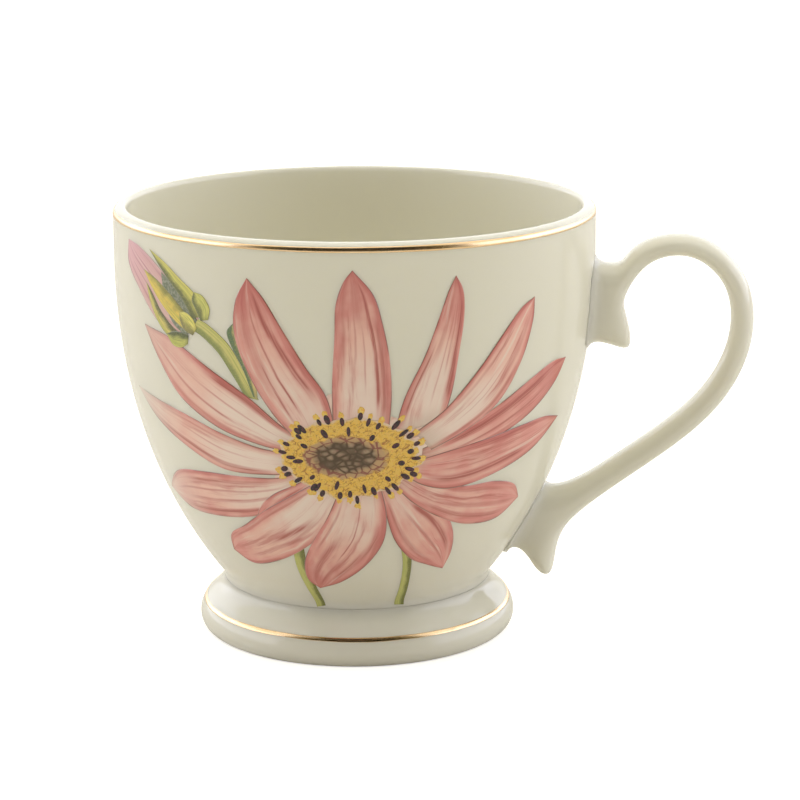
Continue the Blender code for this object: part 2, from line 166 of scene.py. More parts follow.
def add_mesh(name, verts, faces, material, replaces=()):
    mesh = bpy.data.meshes.new(name)
    mesh.from_pydata([tuple(map(float, v)) for v in verts], [], faces)
    mesh.materials.append(material)
    bm = bmesh.new()
    bm.from_mesh(mesh)
    bmesh.ops.recalc_face_normals(bm, faces=bm.faces[:])
    bm.to_mesh(mesh)
    bm.free()
    mesh.shade_smooth()
    obj = bpy.data.objects.new(name, mesh)
    bpy.context.scene.collection.objects.link(obj)
    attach(obj, "root")
    if replaces:
        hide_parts(*replaces)
    return obj


def bands(rings):
    """Faces between neighbouring rings of vertices; a pole's ring repeats one vertex."""
    faces = []
    for low, high in zip(rings[:-1], rings[1:]):
        for i in range(len(low)):
            j = (i + 1) % len(low)
            faces.append(tuple(dict.fromkeys((low[i], low[j], high[j], high[i]))))
    return faces


def turned(profile, closed):
    """Vertices and faces of a profile turned about the cup's axis; points on the axis are poles."""
    verts, rings = [], []
    for radius, height in profile:
        count = TURNS if radius > 0 else 1
        rings.append([len(verts) + i % count for i in range(TURNS)])
        for turn in np.arange(count) * 2 * math.pi / TURNS:
            verts.append((AXIS_X + radius * math.cos(turn), radius * math.sin(turn), height))
    return verts, bands(rings + rings[:1] if closed else rings)


# ---- material graphs


class Graph:
    """Short names for the nodes of a new material, or of the world's tree."""

    def __init__(self, name, tree=None):
        if tree is None:
            self.material = bpy.data.materials.new(name)
            self.material.use_nodes = True
            tree = self.material.node_tree
            self.shader = tree.nodes["Principled BSDF"]
        self.tree = tree

    def node(self, kind, **settings):
        made = self.tree.nodes.new(kind)
        for key, value in settings.items():
            setattr(made, key, value)
        return made

    def plug(self, value, socket):
        if isinstance(value, bpy.types.NodeSocket):
            self.tree.links.new(value, socket)
        else:
            socket.default_value = value

    def fill(self, made, *values):
        for value, socket in zip(values, made.inputs):
            self.plug(value, socket)
        return made.outputs[0]

    def math(self, operation, *values):
        return self.fill(self.node("ShaderNodeMath", operation=operation), *values)

    def point(self, operation, *values):
        made = self.node("ShaderNodeVectorMath", operation=operation)
        self.fill(made, *values)
        return made.outputs["Value" if operation == 'DOT_PRODUCT' else "Vector"]

    def add(self, a, b):
        return self.math('ADD', a, b)

    def sub(self, a, b):
        return self.math('SUBTRACT', a, b)

    def mul(self, a, b):
        return self.math('MULTIPLY', a, b)

    def ramp(self, value, low, high, to_low=0.0, to_high=1.0):
        """A smooth step of value from low to high."""
        made = self.node("ShaderNodeMapRange", interpolation_type='SMOOTHSTEP')
        return self.fill(made, value, low, high, to_low, to_high)

    def vector(self, x, y, z):
        return self.fill(self.node("ShaderNodeCombineXYZ"), x, y, z)

    def parts(self, vector):
        made = self.node("ShaderNodeSeparateXYZ")
        self.plug(vector, made.inputs[0])
        return made.outputs

    def noise(self, vector, scale, detail=2.0, roughness=0.5):
        made = self.node("ShaderNodeTexNoise")
        self.plug(vector, made.inputs["Vector"])
        made.inputs["Scale"].default_value = scale
        made.inputs["Detail"].default_value = detail
        made.inputs["Roughness"].default_value = roughness
        return made.outputs["Fac"]

    def cells(self, vector, scale, feature='F1'):
        made = self.node("ShaderNodeTexVoronoi", feature=feature)
        self.plug(vector, made.inputs["Vector"])
        made.inputs["Scale"].default_value = scale
        return made.outputs

    def mix(self, factor, a, b):
        """Colour a where factor is 0, colour b where it is 1."""
        made = self.node("ShaderNodeMix", data_type='RGBA')
        self.plug(factor, made.inputs["Factor"])
        colours = [s for s in made.inputs if s.type == 'RGBA']
        for value, socket in zip((a, b), colours):
            self.plug((*value, 1.0) if isinstance(value, tuple) else value, socket)
        return next(s for s in made.outputs if s.type == 'RGBA')

    def attribute(self, name):
        return self.node("ShaderNodeAttribute", attribute_name=name).outputs["Vector"]

    def place(self):
        return self.node("ShaderNodeTexCoord").outputs["Object"]

    def path(self, kind):
        return self.node("ShaderNodeLightPath").outputs[kind]

    def bump(self, height, strength, distance):
        made = self.node("ShaderNodeBump")
        made.inputs["Strength"].default_value = strength
        made.inputs["Distance"].default_value = distance
        self.plug(height, made.inputs["Height"])
        self.plug(made.outputs[0], self.shader.inputs["Normal"])

    def set(self, **values):
        for key, value in values.items():
            self.plug(value, self.shader.inputs[key.replace("_", " ")])


def glaze_gloss(g):
    """The clear glaze over everything: a gloss that varies a little, and a faint orange peel."""
    waves = g.noise(g.place(), 90.0, 3.0)
    g.set(Roughness=g.ramp(waves, 0.3, 0.7, 0.075, 0.12), IOR=1.5, Specular_IOR_Level=0.5)
    g.bump(g.noise(g.place(), 260.0, 2.0), 0.06, 0.00006)


def glaze_tone(g):
    """Ivory glaze, a little deeper where it has pooled."""
    cloud = g.noise(g.place(), 38.0, 3.0)
    tone = g.mix(g.ramp(cloud, 0.3, 0.7), GLAZE, (0.795, 0.775, 0.68))
    speck = g.cells(g.place(), 420.0)["Distance"]
    chance = g.noise(g.place(), 150.0, 1.0)
    spots = g.mul(g.ramp(speck, 0.06, 0.02), g.ramp(chance, 0.72, 0.76))
    return g.mix(g.mul(spots, 0.35), tone, (0.50, 0.42, 0.31))


def thin_china(g):
    """A thin wall of china lets some of the light through."""
    g.set(Subsurface_Weight=0.55, Subsurface_Radius=(3.6 * MM, 3.6 * MM, 3.3 * MM), Subsurface_Scale=1.0)


def porcelain():
    g = Graph("ivory_glaze")
    g.set(Base_Color=glaze_tone(g))
    glaze_gloss(g)
    thin_china(g)
    return g.material


def foot_porcelain():
    """The same glaze, wiped off the ring that the cup stands on."""
    g = Graph("ivory_glaze_foot")
    height = g.parts(g.place())[2]
    edge = g.mul(g.noise(g.place(), 300.0, 2.0), 0.0004)
    bare = g.ramp(g.add(height, edge), 0.0008, 0.0003)
    grain = g.noise(g.place(), 2600.0, 3.0)
    clay = g.mix(grain, (0.70, 0.65, 0.55), (0.80, 0.75, 0.66))
    g.set(Base_Color=g.mix(bare, glaze_tone(g), clay))
    waves = g.noise(g.place(), 90.0, 3.0)
    g.set(Roughness=g.add(g.ramp(waves, 0.3, 0.7, 0.08, 0.12), g.mul(bare, 0.55)), IOR=1.5)
    g.bump(g.add(g.noise(g.place(), 260.0, 2.0), g.mul(bare, grain)), 0.06, 0.00006)
    thin_china(g)
    return g.material


def gold():
    """Liquid gold put on with a brush: fine drag marks and a few thin spots."""
    g = Graph("burnished_gold")
    place = g.place()
    x, y, z = g.parts(place)
    turn = g.math('ARCTAN2', y, g.sub(x, AXIS_X))
    drag = g.noise(g.vector(g.mul(turn, 3.0), g.mul(z, 4200.0), 0.0), 1.0, 3.0, 0.6)
    patch = g.noise(place, 120.0, 3.0)
    tone = g.mix(g.ramp(patch, 0.3, 0.7), (0.86, 0.60, 0.34), (0.93, 0.70, 0.45))
    thin = g.mul(g.ramp(patch, 0.66, 0.74), g.ramp(drag, 0.45, 0.6))
    g.set(Base_Color=g.mix(g.mul(thin, 0.5), tone, (0.62, 0.45, 0.26)), Metallic=1.0)
    g.set(Roughness=g.ramp(drag, 0.2, 0.8, 0.16, 0.34))
    g.bump(drag, 0.25, 0.00002)
    return g.material


# ---- bowl, foot and gold


def add_bowl():
    seam = WALL[0][1]
    floor = WAIST_HEIGHT + BOWL_FLOOR_RISE
    lip_foot = LIP_TOP - LIP_INNER_FALL
    inside = WALL - WALL_NORMALS * BOWL_WALL
    below_lip = (WALL[:, 1] < LIP_TOP - LIP_OUTER_FALL - LIP_BLEND) & (inside[:, 1] < lip_foot - LIP_BLEND)
    inside = inside[below_lip & (inside[:, 1] > floor + FLOOR_CORNER_RISE)]
    slope = inside[1] - inside[0]
    slope /= np.linalg.norm(slope)
    corner = bezier(((FLOOR_FLAT_RADIUS, floor), (inside[0][0] - FLOOR_CORNER_RISE, floor),
                     tuple(inside[0] - slope * FLOOR_CORNER_RISE / 2), tuple(inside[0])), 24)
    flat = [np.array((r, floor)) for r in np.linspace(0, FLOOR_FLAT_RADIUS, 5)[:-1]]
    inner = RIM_RADIUS - BOWL_WALL
    lip = [np.array((LIP_CREST_RADIUS - (LIP_CREST_RADIUS - inner) * math.cos(a),
                     lip_foot + LIP_INNER_FALL * math.sin(a))) for a in np.linspace(0, math.pi / 2, 11)]
    under = [np.array((WAIST_RADIUS - SEAM_WIDTH, seam)), np.array((0.0, seam))]
    profile = flat + corner + list(inside[1:]) + lip + list(WALL[-2::-1]) + under
    verts, faces = turned(profile, closed=False)
    return add_mesh("bowl_porcelain", verts, faces, porcelain(),
                    ("bowl", "foot_slip_joint"))


def add_foot():
    seam = FOOT[-1][1]
    ring_outer = FOOT_RADIUS - FOOT_RING_INSET
    ring_inner = ring_outer - FOOT_RING_WIDTH
    under = bezier(((ring_outer, 0), (ring_outer + FOOT_RING_ROUND, 0),
                    (FOOT_RADIUS, FOOT_WIDEST_HEIGHT / 2), (FOOT_RADIUS, FOOT_WIDEST_HEIGHT)), 16)
    hollow = bezier(((WAIST_RADIUS - FOOT_WALL, seam), (WAIST_RADIUS - FOOT_WALL, seam / 2),
                     (ring_inner - FOOT_RING_ROUND, 0), (ring_inner, 0)), 24)
    profile = hollow + under[:-1] + list(FOOT)
    verts, faces = turned(profile, closed=True)
    return add_mesh("foot_porcelain", verts, faces, foot_porcelain(), ("pedestal_foot",))


def add_gold_line(name, curve, normals, height, width, node, seed):
    """A brushed gold line: its edges waver by a few hundredths of a millimetre."""
    rng = np.random.default_rng(seed)
    turns = 2 * TURNS
    azimuth = np.arange(turns) * 2 * math.pi / turns
    wave = [sum(rng.normal(0, 1 / k) * np.sin(k * azimuth + rng.uniform(0, 6.3)) for k in range(3, 40, 3))
            for _ in range(2)]
    edges = [height + side * width / 2 + w * 0.10 * MM for side, w in zip((-1, 1), wave)]
    verts, rows = [], []
    for share, lift in ((0, -0.02), (0.04, 0.03), (0.3, 0.045), (0.7, 0.045), (0.96, 0.03), (1, -0.02)):
        level = edges[0] + (edges[1] - edges[0]) * share
        radius, out, up = at_height(curve, normals, level)
        grown = radius + out * lift * MM
        rows.append(list(range(len(verts), len(verts) + turns)))
        verts += list(np.stack((AXIS_X + grown * np.cos(azimuth), grown * np.sin(azimuth),
                                level + up * lift * MM), axis=1))
    return add_mesh(name, verts, bands(rows + rows[:1]), gold(), (node,))


# ---- handle


def handle_point(out, up):
    """A point beside the wall: out is 0 on the wall and 1 at the handle's full reach,
    up is 0 at the lower spur's tip and 1 at the loop's top."""
    height = HANDLE_TIP_HEIGHT + up * (CUP_HEIGHT - HANDLE_TOP_DROP - HANDLE_TIP_HEIGHT)
    wall = float(at_height(WALL, WALL_NORMALS, height)[0])
    return Vector((wall + out * (RIM_RADIUS + HANDLE_REACH - wall), height))


# Middle line of the loop, and the corners of the two root blocks, as (out, up)
LOOP_LINE = (
    (0.275, 0.955), (0.450, 0.985), (0.630, 0.980), (0.780, 0.935), (0.885, 0.870), (0.925, 0.780),
    (0.900, 0.680), (0.810, 0.580), (0.680, 0.495), (0.525, 0.420), (0.375, 0.350), (0.260, 0.290),
)
UPPER_BLOCK = {
    "wall_top": (-0.16, 0.950), "wall_high": (-0.16, 0.850), "wall_low": (-0.16, 0.765),
    "wall_base": (-0.16, 0.680), "crown": (0.130, 0.920), "core_high": (0.120, 0.840),
    "core_low": (0.110, 0.770), "arch": (0.070, 0.715), "shoulder": (0.185, 0.945),
    "throat": (0.170, 0.820), "side": (0.220, 0.775), "spur": (0.305, 0.650),
}
LOWER_BLOCK = {
    "wall_top": (-0.12, 0.320), "wall_mid": (-0.12, 0.200), "wall_base": (-0.12, 0.085),
    "crown": (0.040, 0.265), "core": (0.075, 0.165), "arch": (0.050, 0.105),
    "throat": (0.150, 0.300), "heel": (0.180, 0.160), "side": (0.225, 0.070),
    "spur_out": (0.245, -0.010), "spur_in": (0.170, 0.025),
}
# A Catmull-Clark surface lies this far inside the square section of its cage
SECTION_FULLNESS = 0.92
FILLET = 2.4 * MM               # between a root and the wall
UPPER_ROOT_HALF = 9.5 * MM      # half the height of each root's footprint
LOWER_ROOT_HALF = 8.5 * MM
SEAT_DEPTH = 0.12 * MM          # how far the roots end under the glaze


def loop_rungs():
    line = [handle_point(*p) for p in LOOP_LINE]
    rungs = []
    for i, point in enumerate(line):
        before = line[max(i - 1, 0)]
        after = line[min(i + 1, len(line) - 1)]
        along = (after - before).normalized()
        thickness = STRAP_THIN + (STRAP_THICK - STRAP_THIN) * i / (len(line) - 1)
        side = Vector((-along.y, along.x)) * thickness / 2 / SECTION_FULLNESS
        rungs.append((point + side, point - side))
    return rungs


def handle_cage():
    """Quads of the handle's side view, each corner with half the width there."""
    root = ROOT_WIDTH / 2 / SECTION_FULLNESS
    strap = STRAP_WIDTH / 2 / SECTION_FULLNESS
    u = {k: (handle_point(*p), root) for k, p in UPPER_BLOCK.items()}
    w = {k: (handle_point(*p), root) for k, p in LOWER_BLOCK.items()}
    rungs = [((a, strap), (b, strap)) for a, b in loop_rungs()]
    quads = [
        (u["wall_top"], u["crown"], u["core_high"], u["wall_high"]),
        (u["wall_high"], u["core_high"], u["core_low"], u["wall_low"]),
        (u["wall_low"], u["core_low"], u["arch"], u["wall_base"]),
        (u["core_high"], u["throat"], u["side"], u["core_low"]),
        (u["core_low"], u["side"], u["spur"], u["arch"]),
        (u["crown"], u["shoulder"], u["throat"], u["core_high"]),
        (u["shoulder"], rungs[0][0], rungs[0][1], u["throat"]),
        (rungs[-1][0], w["heel"], w["throat"], rungs[-1][1]),
        (w["heel"], w["core"], w["crown"], w["throat"]),
        (w["core"], w["wall_mid"], w["wall_top"], w["crown"]),
        (w["core"], w["arch"], w["wall_base"], w["wall_mid"]),
        (w["heel"], w["side"], w["arch"], w["core"]),
        (w["side"], w["spur_out"], w["spur_in"], w["arch"]),
    ]
    for (outer, inner), (next_outer, next_inner) in zip(rungs[:-1], rungs[1:]):
        quads.append((outer, next_outer, next_inner, inner))
    return quads


def root_middle(block):
    return (handle_point(*block["wall_top"]).y + handle_point(*block["wall_base"]).y) / 2


def seat_on_wall(points):
    """Fillet the roots where they meet the wall, and end them just under its surface."""
    across = points[:, 1]
    distance = np.hypot(points[:, 0] - AXIS_X, across)
    radius, out, _ = at_height(WALL, WALL_NORMALS, points[:, 2])
    gap = (distance - radius) * out
    near = 1 - np.sqrt(1 - np.clip(1 - gap / FILLET, 0, 1) ** 2)
    upper, lower = root_middle(UPPER_BLOCK), root_middle(LOWER_BLOCK)
    middle = np.where(points[:, 2] > (upper + lower) / 2, upper, lower)
    half = np.where(points[:, 2] > (upper + lower) / 2, UPPER_ROOT_HALF, LOWER_ROOT_HALF)
    upward = np.clip((points[:, 2] - middle) / half, -1, 1)
    sideways = np.clip(across / (ROOT_WIDTH / 2), -1, 1)
    points[:, 1] += near * FILLET * sideways ** 3
    points[:, 2] += near * FILLET * upward ** 3
    radius, out, _ = at_height(WALL, WALL_NORMALS, points[:, 2])
    distance = np.hypot(points[:, 0] - AXIS_X, points[:, 1])
    seat = radius - SEAT_DEPTH
    inside = distance < seat
    points[inside, 0] = AXIS_X + np.sqrt(seat[inside] ** 2 - points[inside, 1] ** 2)
    return points


def add_handle():
    bm = bmesh.new()
    seen = {}
    for quad in handle_cage():
        corners = []
        for point, half in quad:
            key = (round(point.x, 9), round(point.y, 9))
            if key not in seen:
                seen[key] = bm.verts.new((AXIS_X + point.x, -half, point.y))
            corners.append(seen[key])
        bm.faces.new(corners)
    side = bmesh.ops.extrude_face_region(bm, geom=bm.faces[:])
    for vert in side["geom"]:
        if isinstance(vert, bmesh.types.BMVert):
            vert.co.y = -vert.co.y
    bmesh.ops.recalc_face_normals(bm, faces=bm.faces[:])
    mesh = bpy.data.meshes.new("handle_cage")
    bm.to_mesh(mesh)
    bm.free()
    cage = bpy.data.objects.new("handle_cage", mesh)
    bpy.context.scene.collection.objects.link(cage)
    smooth = cage.modifiers.new("round", "SUBSURF")
    smooth.levels = 4
    bpy.context.view_layer.update()
    graph = bpy.context.evaluated_depsgraph_get()
    fine = cage.evaluated_get(graph).to_mesh()
    points = np.array([v.co for v in fine.vertices])
    faces = [tuple(p.vertices) for p in fine.polygons]
    bpy.data.objects.remove(cage, do_unlink=True)
    return add_mesh("handle_porcelain", seat_on_wall(points), faces, porcelain(),
                    ("handle", "handle_upper_slip", "handle_lower_slip"))


# ---- the transfer: patches on the wall


def through(points, shares):
    """A smooth curve through given points, read at shares of its length."""
    points = np.array(points, float)
    ends = np.vstack((2 * points[0] - points[1], points, 2 * points[-1] - points[-2]))
    dense = []
    for i in range(len(points) - 1):
        p0, p1, p2, p3 = ends[i:i + 4]
        for t in np.linspace(0, 1, 24, endpoint=False):
            dense.append(0.5 * (2 * p1 + (p2 - p0) * t + (2 * p0 - 5 * p1 + 4 * p2 - p3) * t * t
                                + (3 * p1 - p0 - 3 * p2 + p3) * t ** 3))
    dense.append(points[-1])
    dense = np.array(dense)
    lengths = np.concatenate(([0], np.cumsum(np.linalg.norm(np.diff(dense, axis=0), axis=1))))
    lengths /= lengths[-1]
    return np.stack([np.interp(shares, lengths, column) for column in dense.T], axis=1)


def transfer_to_wall(flat, lift):
    """Places on the transfer, in millimetres from the disc's middle, lifted off the wall."""
    azimuth = DAISY_AZIMUTH + flat[..., 0] * MM / RIM_RADIUS
    return on_wall(azimuth, DAISY_HEIGHT + flat[..., 1] * MM, lift * MM)


FILM = 0.010        # thickness of a film of enamel (mm)
LIFT = 0.014        # its underside above the glaze (mm)
LAYER = 0.009       # each layer above the one under it (mm)
TIP_STOP = 0.996    # where a leaf's grid ends, as a share of its length
ROWS_TOWARDS_TIP = 0.9      # below 1 crowds a leaf's rows towards the tip


def film(name, grids, layer, material, replaces=()):
    """Closed films of enamel over grids of places on the transfer, as one piece."""
    low = LIFT + LAYER * layer
    verts, faces, places, strips = [], [], [], []
    for flat, strip in grids:
        rows, columns = flat.shape[:2]
        count = rows * columns
        index = len(verts) + np.arange(count).reshape(rows, columns)
        for lift in (low + FILM, low):
            verts += list(transfer_to_wall(flat, lift).reshape(-1, 3))
        for i in range(rows - 1):
            for j in range(columns - 1):
                quad = (index[i, j], index[i, j + 1], index[i + 1, j + 1], index[i + 1, j])
                faces.append(tuple(int(q) for q in quad))
                faces.append(tuple(int(q) + count for q in reversed(quad)))
        border = [*index[0, :], *index[1:, -1], *index[-1, -2::-1], *index[-2:0:-1, 0]]
        for a, b in zip(border, border[1:] + border[:1]):
            faces.append((int(b), int(a), int(a) + count, int(b) + count))
        places += [np.dstack((flat, np.zeros((rows, columns)))).reshape(-1, 3)] * 2
        strips += [strip.reshape(-1, 3)] * 2
    obj = add_mesh(name, verts, faces, material, replaces)
    for key, values in (("strip", strips), ("place", places)):
        made = obj.data.attributes.new(key, 'FLOAT_VECTOR', 'POINT')
        made.data.foreach_set("vector", np.concatenate(values).astype(np.float32).ravel())
    return obj


def leaf_grid(left, right, rows, columns):
    """A grid between two edges that run from base to tip, with (across, along, half width).
    A left edge with one point less ends at the right one's tip."""
    along = np.linspace(0, 1, rows) ** ROWS_TOWARDS_TIP
    along[-1] = TIP_STOP
    if len(left) < len(right):
        left = (*left, right[-1])
    left_edge = through(left, along)
    right_edge = through(right, along)
    across = np.linspace(-1, 1, columns)
    share = (across[None, :, None] + 1) / 2
    flat = left_edge[:, None, :] * (1 - share) + right_edge[:, None, :] * share
    half = np.linalg.norm(right_edge - left_edge, axis=1) / 2
    strip = np.dstack(np.broadcast_arrays(across, along[:, None], half[:, None]))
    return flat, strip


# ---- petals

# Albedo of the enamels
CREAM = (0.92, 0.75, 0.65)
PEACH = (0.90, 0.57, 0.47)
SALMON = (0.78, 0.32, 0.28)
ROSE = (0.55, 0.15, 0.135)
WINE = (0.38, 0.095, 0.07)
OUTLINE = (0.22, 0.10, 0.075)

# Each petal on the transfer, in millimetres from the disc's middle: its left and right edge from base
# to tip, as seen looking out from the disc (the left one ends at the right one's tip), its layer, how
# pink it is, how far its tip fades into the glaze, whether the tip is dark, and its brush strokes in
# hundredths: from across and along to across and along, half width, strength
PETALS = {
    "north": dict(
        left=((-3.0, 6.0), (-2.9, 15.0), (-2.3, 24.2), (-2.0, 31.0), (-0.6, 35.4)),
        right=((8.6, 5.0), (9.0, 12.8), (8.4, 20.9), (7.0, 27.9), (5.3, 33.2), (1.3, 38.0)),
        layer=2, pink=0.44, deep_tip=True,
        strokes=((58, 12, 40, 98, 13, 100), (80, 5, 70, 75, 26, 75), (-75, 30, -60, 95, 22, 55),
            (-25, 35, -15, 80, 7, 50), (12, 25, 10, 70, 5, 50), (0, 62, 0, 100, 35, 50))),
    "north_east": dict(
        left=((9.6, 5.0), (11.6, 12.5), (15.4, 20.6), (18.1, 27.8), (20.0, 33.0)),
        right=((20.0, 7.0), (21.6, 13.0), (22.6, 20.5), (23.5, 27.5), (23.3, 33.0), (21.7, 36.2)),
        layer=1, pink=0.36, deep_tip=True,
        strokes=((80, 12, 75, 92, 24, 95), (-78, 5, -62, 60, 20, 90), (20, 15, 15, 75, 6, 50),
            (-25, 45, -20, 95, 22, 45), (45, 35, 30, 90, 8, 60))),
    "east_north": dict(
        left=((14.0, 5.0), (20.5, 9.6), (27.0, 16.6), (32.6, 23.4), (37.0, 27.9)),
        right=((18.0, 1.0), (26.0, 4.6), (33.2, 9.6), (38.0, 17.0), (40.6, 24.8), (40.9, 29.9)),
        layer=3, pink=0.32,
        strokes=((-70, 15, -50, 80, 12, 45), (10, 20, 20, 90, 5, 45), (70, 5, 80, 70, 18, 70),
            (-20, 10, -10, 60, 5, 40), (40, 40, 40, 100, 22, 45))),
    "east_high": dict(
        left=((16.0, 1.5), (24.0, 4.6), (32.0, 8.2), (40.0, 12.2), (48.0, 15.2)),
        right=((16.0, -1.6), (25.0, -0.6), (34.0, 1.8), (43.0, 5.4), (50.4, 10.4), (54.2, 15.2)),
        layer=2, pink=0.9, deep_tip=True,
        strokes=((-45, 10, -40, 88, 40, 100), (35, 15, 30, 85, 14, 80), (80, 10, 70, 70, 12, 60))),
    "east": dict(
        left=((14.0, -1.2), (22.0, 0.4), (31.8, 2.0), (40.4, 3.2), (49.0, 3.6)),
        right=((11.0, -3.0), (16.7, -6.6), (24.5, -8.1), (35.0, -6.5), (47.0, -3.0), (55.9, 2.4)),
        layer=4, pink=0.85,
        strokes=((50, 14, 45, 78, 30, 95), (-80, 20, -80, 90, 18, 80), (0, 20, 10, 95, 8, 60),
            (-35, 30, -30, 80, 8, 50))),
    "east_low": dict(
        left=((13.0, -4.0), (20.5, -6.6), (28.0, -8.0), (36.5, -8.2), (44.0, -10.2)),
        right=((9.0, -5.0), (14.6, -10.2), (22.0, -14.3), (31.0, -17.2), (41.5, -17.6), (48.4, -14.0)),
        layer=3, pink=0.7,
        strokes=((15, 30, 0, 95, 18, 75), (65, 20, 55, 90, 20, 75), (-75, 25, -65, 80, 18, 70),
            (-25, 20, -30, 70, 6, 50))),
    "south_east": dict(
        left=((11.0, -5.0), (17.5, -9.6), (23.5, -13.2), (27.6, -18.2), (29.4, -23.4)),
        right=((6.4, -5.6), (8.2, -11.2), (11.4, -18.8), (16.6, -23.8), (23.0, -26.2), (28.8, -27.8)),
        layer=2, pink=0.7,
        strokes=((-45, 20, -55, 85, 20, 90), (5, 25, 0, 95, 10, 75), (65, 10, 70, 90, 18, 65))),
    "south": dict(
        left=((7.2, -6.0), (9.0, -13.0), (8.6, -19.6), (4.2, -25.2), (-2.6, -29.2)),
        right=((-2.0, -7.0), (-5.4, -13.6), (-9.6, -19.2), (-13.1, -24.6), (-13.4, -29.0), (-10.2, -31.3)),
        layer=5, pink=0.5, deep_tip=True,
        strokes=((-75, 25, -50, 85, 18, 80), (0, 8, -10, 65, 4, 80), (35, 40, 45, 95, 22, 80),
            (-25, 55, 0, 98, 16, 70), (70, 10, 75, 60, 7, 60))),
    "south_west": dict(
        left=((0.0, -6.6), (-5.4, -16.0), (-13.0, -21.6), (-22.5, -25.4), (-31.0, -26.8)),
        right=((-6.4, -5.0), (-13.0, -8.6), (-20.5, -12.6), (-28.0, -17.0), (-34.6, -20.2), (-36.9, -24.4)),
        layer=4, pink=0.32,
        strokes=((-35, 25, -15, 62, 20, 90), (-75, 30, -45, 60, 14, 70), (20, 50, 10, 95, 10, 50),
            (75, 10, 75, 90, 10, 60))),
    "folded": dict(
        left=((-6.0, -6.0), (-10.0, -10.0), (-14.6, -13.6), (-19.4, -16.2)),
        right=((-8.6, -4.6), (-13.4, -6.8), (-18.0, -9.0), (-22.2, -12.4), (-24.4, -16.6)),
        layer=2, pink=0.9,
        strokes=((10, 10, 20, 85, 35, 90),)),
    "west_low": dict(
        left=((-8.0, -6.6), (-15.8, -11.6), (-25.0, -14.8), (-37.0, -16.4), (-49.0, -16.6)),
        right=((-10.0, -3.0), (-16.0, -5.0), (-25.6, -5.7), (-36.0, -6.2), (-47.5, -8.0), (-57.4, -13.6)),
        layer=1, pink=0.4, fade=0.45,
        strokes=((-75, 15, -70, 88, 18, 90), (20, 10, 20, 90, 8, 70), (-25, 12, -25, 80, 12, 80),
            (70, 12, 60, 75, 16, 80))),
    "west": dict(
        left=((-10.0, -3.6), (-18.0, -4.6), (-29.5, -4.7), (-40.0, -1.4), (-50.0, 3.0)),
        right=((-11.0, 0.6), (-19.0, 1.2), (-28.0, 3.2), (-38.0, 5.9), (-49.0, 7.6), (-57.2, 8.4)),
        layer=2, pink=0.28, fade=0.75,
        strokes=((-65, 15, -60, 90, 20, 90), (10, 20, 20, 70, 7, 50), (70, 25, 60, 80, 12, 60))),
    "west_high": dict(
        left=((-11.0, 0.6), (-19.0, 1.8), (-29.0, 4.4), (-38.4, 9.4), (-44.0, 16.0)),
        right=((-9.0, 3.6), (-14.0, 6.6), (-20.5, 11.8), (-29.0, 16.6), (-39.0, 21.4), (-48.6, 23.0)),
        layer=3, pink=0.34, fade=0.35,
        strokes=((78, 5, 80, 60, 26, 100), (-40, 30, -20, 95, 8, 70), (-80, 15, -75, 80, 14, 65),
            (10, 10, 20, 60, 6, 60))),
    "north_west": dict(
        left=((-10.4, 3.0), (-15.6, 9.0), (-20.0, 16.4), (-22.7, 24.6), (-22.2, 31.0)),
        right=((-2.2, 5.0), (-4.0, 12.8), (-8.0, 18.8), (-12.4, 26.0), (-16.0, 31.8), (-19.6, 35.8)),
        layer=4, pink=0.58, deep_tip=True,
        strokes=((62, 22, 30, 98, 20, 100), (-10, 15, -5, 90, 7, 90), (-55, 30, -35, 100, 36, 50),
            (85, 5, 85, 60, 14, 85), (-50, 10, -35, 60, 8, 80))),
}


def stroke(g, across, along, wander, line):
    """A painted line along a petal: soft sides, thin ends and a hand's wobble."""
    start_across, start, end_across, end, width, strength = (number / 100 for number in line)
    slope = (end_across - start_across) / (end - start)
    centre = g.add(g.mul(g.sub(along, start), slope), start_across)
    away = g.math('ABSOLUTE', g.sub(g.sub(across, centre), g.mul(wander, 0.16)))
    side = g.ramp(away, width, width * 0.15)
    ends = g.mul(g.ramp(along, start - 0.05, start + 0.12), g.ramp(along, end + 0.03, end - 0.15))
    return g.mul(g.mul(side, ends), strength)


